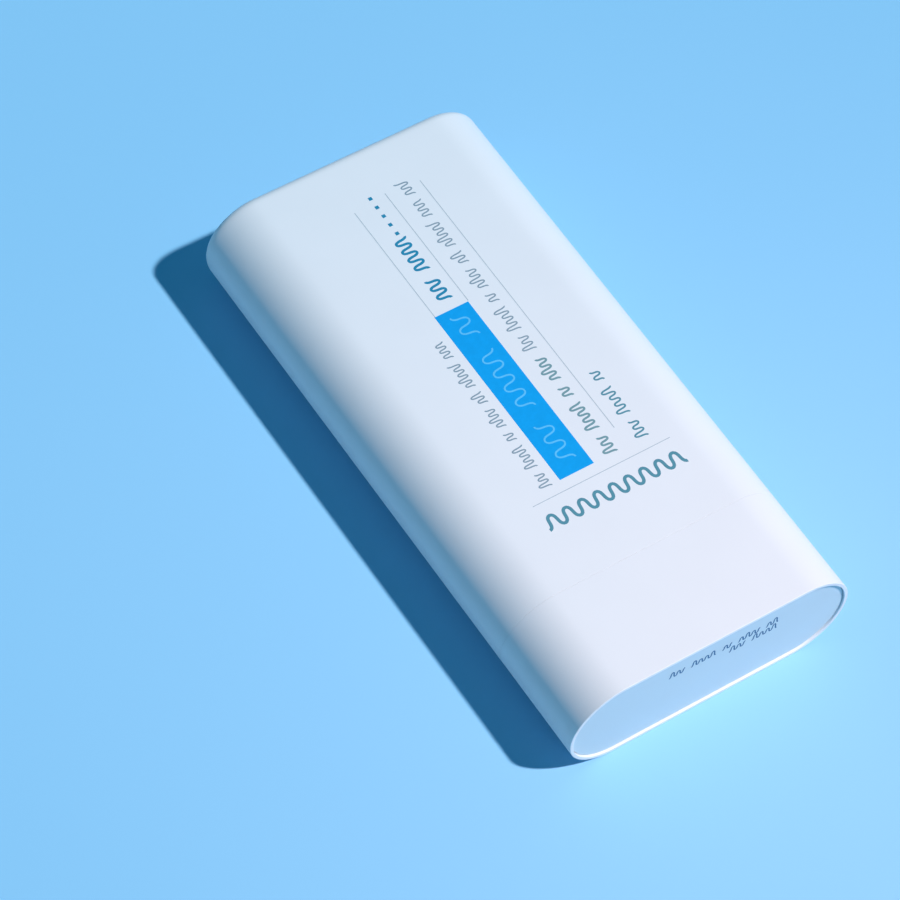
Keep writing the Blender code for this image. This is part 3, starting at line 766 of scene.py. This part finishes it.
def make_screw():
    """The lead screw: a turned body below, and a right-hand thread whose rows follow the helix.

    The threaded stretch has station = v + lead u, held between its two ends, and radius = core + depth
    times an eased trapezoid of v that repeats with the lead, faded out at both ends.
    """
    low, high = station(spindle_low.y), station(spindle_high.y)
    flange_low = station(wheel_high.y) + 2 * GAP + BULKHEAD_THICKNESS
    flange_high = flange_low + FLANGE_THICKNESS
    hex_low, hex_high = station(wheel_low.y) - GAP / 2, station(wheel_high.y)
    barb_high = low + BARB_LENGTH
    corners = [
        (0, low, 0),
        (CORE_RADIUS, low, EDGE_ROUND),
        (BARB_RADIUS, low + BARB_LENGTH * BARB_CONE_SHARE, EDGE_ROUND),
        (BARB_RADIUS, barb_high, EDGE_ROUND),
        (LOWER_JOURNAL_RADIUS, barb_high, 0),
        (LOWER_JOURNAL_RADIUS, hex_low, 0),
        (CREST_RADIUS, hex_low, EDGE_ROUND),
        (CREST_RADIUS, hex_high, 0),
        (JOURNAL_RADIUS, hex_high, EDGE_ROUND),
        (JOURNAL_RADIUS, flange_low, 0),
        (FLANGE_RADIUS, flange_low, EDGE_ROUND),
        (FLANGE_RADIUS, flange_high, EDGE_ROUND),
        (CORE_RADIUS, flange_high, 0),
    ]
    profile = rounded(corners)
    on_hex = (profile[:, 1:2] > hex_low + GAP / 4) & (profile[:, 1:2] < hex_high - GAP / 4)
    change = CREST_RADIUS - hexagon(CREST_RADIUS, np.arange(TURN_STEPS) / TURN_STEPS)
    body = turned(profile, TURN_STEPS, on_hex * change)

    thread_low = flange_high + THREAD_RUN_OUT
    thread_high = high - 2 * THREAD_RUN_OUT
    stretch = high - (CREST_RADIUS - CORE_RADIUS) - flange_high
    rows = math.ceil((stretch / THREAD_LEAD + 1) * THREAD_ROWS) + 1
    run = flange_high - THREAD_LEAD + THREAD_LEAD * np.arange(rows)[:, None] / THREAD_ROWS
    u = np.arange(TURN_STEPS + 1)[None, :] / TURN_STEPS
    along = np.clip(run + THREAD_LEAD * u, flange_high, flange_high + stretch)
    from_crest = (run - thread_low + THREAD_LEAD * THREAD_START_TURN) / THREAD_LEAD
    offset = np.abs((from_crest + 0.5) % 1 - 0.5) * THREAD_LEAD
    ridge = eased((THREAD_ROOT_HALF - offset) / (THREAD_ROOT_HALF - THREAD_CREST_HALF))
    fade = eased((along - thread_low) / THREAD_FADE + 0.5) * eased((thread_high - along) / THREAD_FADE)
    radius = CORE_RADIUS + (CREST_RADIUS - CORE_RADIUS) * ridge * fade
    angle = 2 * math.pi * u
    thread_x, thread_z = radius * np.cos(angle), axis_z - radius * np.sin(angle)
    helix = np.stack([thread_x, foot_end + along, thread_z], axis=-1)
    tip_corners = [
        (CORE_RADIUS, flange_high + stretch, 0),
        (CORE_RADIUS / 2, high, EDGE_ROUND),
        (0, high, 0),
    ]
    tip = turned(rounded(tip_corners), TURN_STEPS)
    sheets = [(body, True), (helix, False), (tip, True)]
    points, faces, count = [], [], 0
    for sheet, wraps in sheets:
        faces.append(grid_faces(*sheet.shape[:2], closed_columns=wraps) + count)
        points.append(sheet.reshape(-1, 3))
        count += len(points[-1])
    item = piece("lead_screw", np.vstack(points), np.vstack(faces))
    return dress(item, "dial", "natural_plastic", milky, "spindle")


def make_balm():
    """The stick of balm: walls on the section, a domed and used top, and the screw's bore.

    Rows of the top go over from the section to the bore's circle. Every point then drops by the dome,
    R - sqrt(R squared - x squared), and by the hollow that use has left, depth (1 - (z / half the
    thickness) squared), both weighted by how near the point is to the crown.
    """
    inset = balm_low.x - cap_low.x
    crown = station(balm_high.y)
    low = station(dish_low.y) + DISH_HEIGHT + GAP
    pocket = station(dish_low.y) + NUT_LENGTH + GAP
    wall = rounded([(inset, low, 0), (inset, crown, BALM_ROUND), (half, crown, 0)])[:-1]
    wall_rows = np.linspace(low, wall[1, 1], BALM_ROWS)[1:]
    side = np.vstack([wall[:1], np.stack([0 * wall_rows + inset, wall_rows], axis=-1), wall[2:]])
    lip_corners = [
        (half, crown, 0),
        (BALM_BORE_RADIUS, crown, BALM_BORE_ROUND),
        (BALM_BORE_RADIUS, pocket, 0),
    ]
    lip = rounded(lip_corners)[1:]
    share = np.linspace(0, 1, BALM_ROWS)[1:-1]
    top_inset, top_radius = side[-1, 0], lip[0, 0]
    bottom = [(NUT_POCKET_RADIUS, pocket), (NUT_POCKET_RADIUS, low)]
    profile = np.vstack([side, [(top_inset, crown)] * len(share), lip, bottom])
    circle = np.concatenate([
        np.zeros((len(side), 2)),
        np.stack([share, 0 * share + top_radius], axis=-1),
        np.stack([np.ones(len(lip)), lip[:, 0]], axis=-1),
        [(1, radius) for radius, _ in bottom],
    ])
    points = carried(profile, section(), circle)
    x, z = points[..., 0], points[..., 2] - axis_z
    near_top = eased((profile[:, 1:2] - low) / (crown - low))
    dome = BALM_DOME_RADIUS - np.sqrt(BALM_DOME_RADIUS**2 - x**2)
    used = BALM_USED_DEPTH * (1 - (z / (half - inset)) ** 2)
    points[..., 1] -= near_top * (dome + used)
    item = piece("balm_stick", points, grid_faces(*points.shape[:2], closed_rows=True))
    return dress(item, "carrier", "balm", balm_green, "balm")


def make_ring(name, low, high, tube, node):
    """A round ring: a circle of the tube's radius turned about the long axis."""
    middle = station((low.y + high.y) / 2)
    radius = (high.z - low.z) / 2 - tube
    angle = 2 * math.pi * np.arange(TUBE_STEPS) / TUBE_STEPS
    profile = np.stack([radius + tube * np.cos(angle), middle + tube * np.sin(angle)], axis=-1)
    points = turned(profile)
    item = piece(name, points, grid_faces(*points.shape[:2], closed_rows=True))
    return dress(item, "base", "soft_ring", silicone, node)


def placed(way, u, v, level):
    """Puts print on its surface: u runs along a row, v across it, and level goes off the skin."""
    u, v, level = np.broadcast_arrays(u, v, level)
    if way == "along":
        return np.stack([-v, foot_end + u, front + level], axis=-1)
    if way == "across":
        return np.stack([u, foot_end + v, front + level], axis=-1)
    return np.stack([u, plate_low.y - level, v], axis=-1)


def marks(name, low_x, high_x, low_y, high_y, ink):
    """Plain rectangles of ink on the front: four corners below the skin and four above, joined up."""
    low_x, high_x, low_y, high_y = np.broadcast_arrays(*np.atleast_1d(low_x, high_x, low_y, high_y))
    u = np.stack([low_x, high_x, high_x, low_x], axis=-1)[:, None]
    v = np.stack([low_y, low_y, high_y, high_y], axis=-1)[:, None]
    points = placed("across", u, v, np.array([-INK_THICKNESS, INK_THICKNESS])[None, :, None])
    box = np.array([(3, 2, 1, 0), (4, 5, 6, 7), (0, 1, 5, 4), (1, 2, 6, 5), (2, 3, 7, 6), (3, 0, 4, 7)])
    first_corner = (box.max() + 1) * np.arange(len(low_x))
    faces = (first_corner[:, None, None] + box).reshape(-1, 4)
    return dress(piece(name, points, faces), "cap", None, inks[ink])


def scribble(name, way, base, ends, letter, ink):
    """Greeked words: one ribbon of ink for each word, which rises and falls again and again.

    At phase t the ribbon's middle is u = start + pitch (t + bend sin(2 pi t) / 2 pi) along the row and
    v = height (1 - cos(pi t)) / 2 up from the base line. Some of its crests are taller, picked by the
    golden ratio. Its two edges lie half a stroke away, square to the middle line. The pitch is eased
    so that the words fill the row.
    """
    height, tallest, pitch, stroke = letter
    waves = (ends[1] - ends[0]) / pitch
    counts = np.array([round(waves)]) if name == SIGN_ROW else np.resize(WORDS, MOST_WORDS)
    starts = np.cumsum(counts) - counts + GAP_WAVES * np.arange(counts.size)
    fits = starts + counts < ROW_SLACK * waves
    counts, starts = counts[fits], starts[fits]
    pitch = (ends[1] - ends[0]) / (starts[-1] + counts[-1])
    starts = ends[0] + pitch * starts
    lines = [np.linspace(0, count, count * WAVE_STEPS + 1) for count in counts]
    lengths = [len(line) for line in lines]
    t = np.concatenate(lines)
    word = np.repeat(np.arange(counts.size), lengths)
    share = ((np.floor(t / 2) + TALL_WORD_STEP * word) * GOLDEN + TALL_START) % 1
    rise = np.where(share < TALL_SHARE, tallest, height)
    u = starts[word] + pitch * (t + WAVE_BEND * np.sin(2 * math.pi * t) / (2 * math.pi))
    v = rise * (1 - np.cos(math.pi * t)) / 2
    run = pitch * (1 + WAVE_BEND * np.cos(2 * math.pi * t))
    climb = rise * math.pi / 2 * np.sin(math.pi * t)
    across = np.stack([-climb, run]) / np.hypot(run, climb) * stroke / 2
    side = np.array([-1, 1, 1, -1])
    level = INK_THICKNESS * (np.array([-1, -1, 1, 1]) + (name == BAND_ROW))
    v = v[:, None] + across[1][:, None] * side
    u = u[:, None] + across[0][:, None] * side
    points = placed(way, u, v + (-base if way == "along" else base), level)
    inside = np.repeat(word[1:] == word[:-1], 4)
    last = np.cumsum(lengths) - 1
    first = last - lengths + 1
    caps = 4 * np.concatenate([first, last])[:, None] + np.arange(4)
    faces = np.vstack([grid_faces(len(t), 4)[inside], caps])
    return dress(piece(name, points, faces), "base" if way == "plate" else "cap", None, inks[ink])


def make_print():
    """The front's plain band, thin rules, dots and greeked rows, and the end plate's greeked rows."""
    marks("print_band", *BAND_X, *BAND_STATIONS, "band")
    thin = RULE_WIDTH / 2
    x, start, end = np.array(LONG_RULES).T
    cross, left, right = CROSS_RULE
    x_low, x_high = np.append(x - thin, left), np.append(x + thin, right)
    y_low, y_high = np.append(start, cross - thin), np.append(end, cross + thin)
    marks("print_rules", x_low, x_high, y_low, y_high, "rule")
    dots = np.array(DOTS)
    marks("print_dots", DOT_LINE, DOT_LINE + DOT_SIZE, dots - DOT_SIZE / 2, dots + DOT_SIZE / 2, "blue")
    for name, row in ROWS.items():
        scribble(name, *row)


def make_floor():
    """A plain pale floor, just under the pack."""
    square = np.array([(-1, -1, 0), (1, -1, 0), (1, 1, 0), (-1, 1, 0)])
    corners = square * FLOOR_REACH - (0, 0, FLOOR_DROP)
    mesh = bpy.data.meshes.new("floor")
    mesh.from_pydata(corners.tolist(), [], [(0, 1, 2, 3)])
    floor = bpy.data.objects.new("floor", mesh)
    bpy.context.scene.collection.objects.link(floor)
    finish = Finish("floor_blue")
    tint = finish.mix(finish.noise(FLOOR_CLOUD), *FLOOR_COLOURS)
    floor.data.materials.append(finish.surface(base_color=tint, roughness=FLOOR_ROUGHNESS))


def make_lamp(name, kind, energy, colour, direction):
    """A lamp that shines from this direction, seen from the pack."""
    lamp = bpy.data.objects.new(name, bpy.data.lights.new(name, kind))
    lamp.data.energy = energy
    lamp.data.color = colour
    lamp.rotation_mode = "QUATERNION"
    lamp.rotation_quaternion = direction.to_track_quat("Z", "Y")
    bpy.context.scene.collection.objects.link(lamp)
    return lamp


def make_light():
    """A key lamp from the right with a brighter middle, a weak fill from the left, and a pale sky."""
    key = make_lamp("key", "SUN", KEY_STRENGTH, KEY_COLOUR, KEY_DIRECTION)
    key.data.angle = KEY_SPREAD
    fill = make_lamp("fill", "SUN", FILL_STRENGTH, FILL_COLOUR, FILL_DIRECTION)
    fill.data.angle = FILL_SPREAD
    pool = make_lamp("pool", "SPOT", POOL_WATTS, POOL_COLOUR, KEY_DIRECTION)
    pool.location = POOL_AIM + KEY_DIRECTION.normalized() * POOL_DISTANCE
    pool.data.spot_size = POOL_ANGLE
    pool.data.spot_blend = POOL_BLEND
    pool.data.shadow_soft_size = POOL_RADIUS
    world = bpy.data.worlds.new("sky")
    world.use_nodes = True
    background = world.node_tree.nodes["Background"]
    background.inputs["Color"].default_value = (*AMBIENT_COLOUR, 1)
    background.inputs["Strength"].default_value = AMBIENT_STRENGTH
    bpy.context.scene.world = world
    bpy.context.scene.view_settings.view_transform = "Standard"


def make_camera():
    """The camera at the photograph's angle: azimuth, elevation and roll about the aim."""
    flat = math.cos(CAMERA_ELEVATION)
    across, along = math.sin(CAMERA_AZIMUTH) * flat, -math.cos(CAMERA_AZIMUTH) * flat
    back = Vector((across, along, math.sin(CAMERA_ELEVATION)))
    camera = bpy.data.objects.new("camera", bpy.data.cameras.new("camera"))
    camera.data.lens = LENS_MM
    camera.data.sensor_width = SENSOR_MM
    camera.rotation_mode = "QUATERNION"
    roll = Matrix.Rotation(-CAMERA_ROLL, 3, "Z").to_quaternion()
    camera.rotation_quaternion = (-back).to_track_quat("-Z", "Y") @ roll
    camera.location = AIM + back * CAMERA_DISTANCE
    bpy.context.scene.collection.objects.link(camera)
    bpy.context.scene.camera = camera


def finish_kept_nodes():
    """The bearing block and the elevator keep their CAD meshes and get the natural plastic."""
    for node in ("bearing_block", "elevator"):
        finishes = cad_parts[node].data.materials
        finishes.clear()
        finishes.append(milky)


make_camera()
make_light()
make_floor()
make_foot()
make_plate()
make_cap()
make_liner()
make_barrel()
make_wheel()
make_screw()
make_balm()
make_ring("friction_ring_round", ring_low, ring_high, FRICTION_RING_TUBE, "friction_ring")
make_ring("seal_ring_round", seal_low, seal_high, SEAL_RING_TUBE, "spindle_seal")
make_print()
finish_kept_nodes()
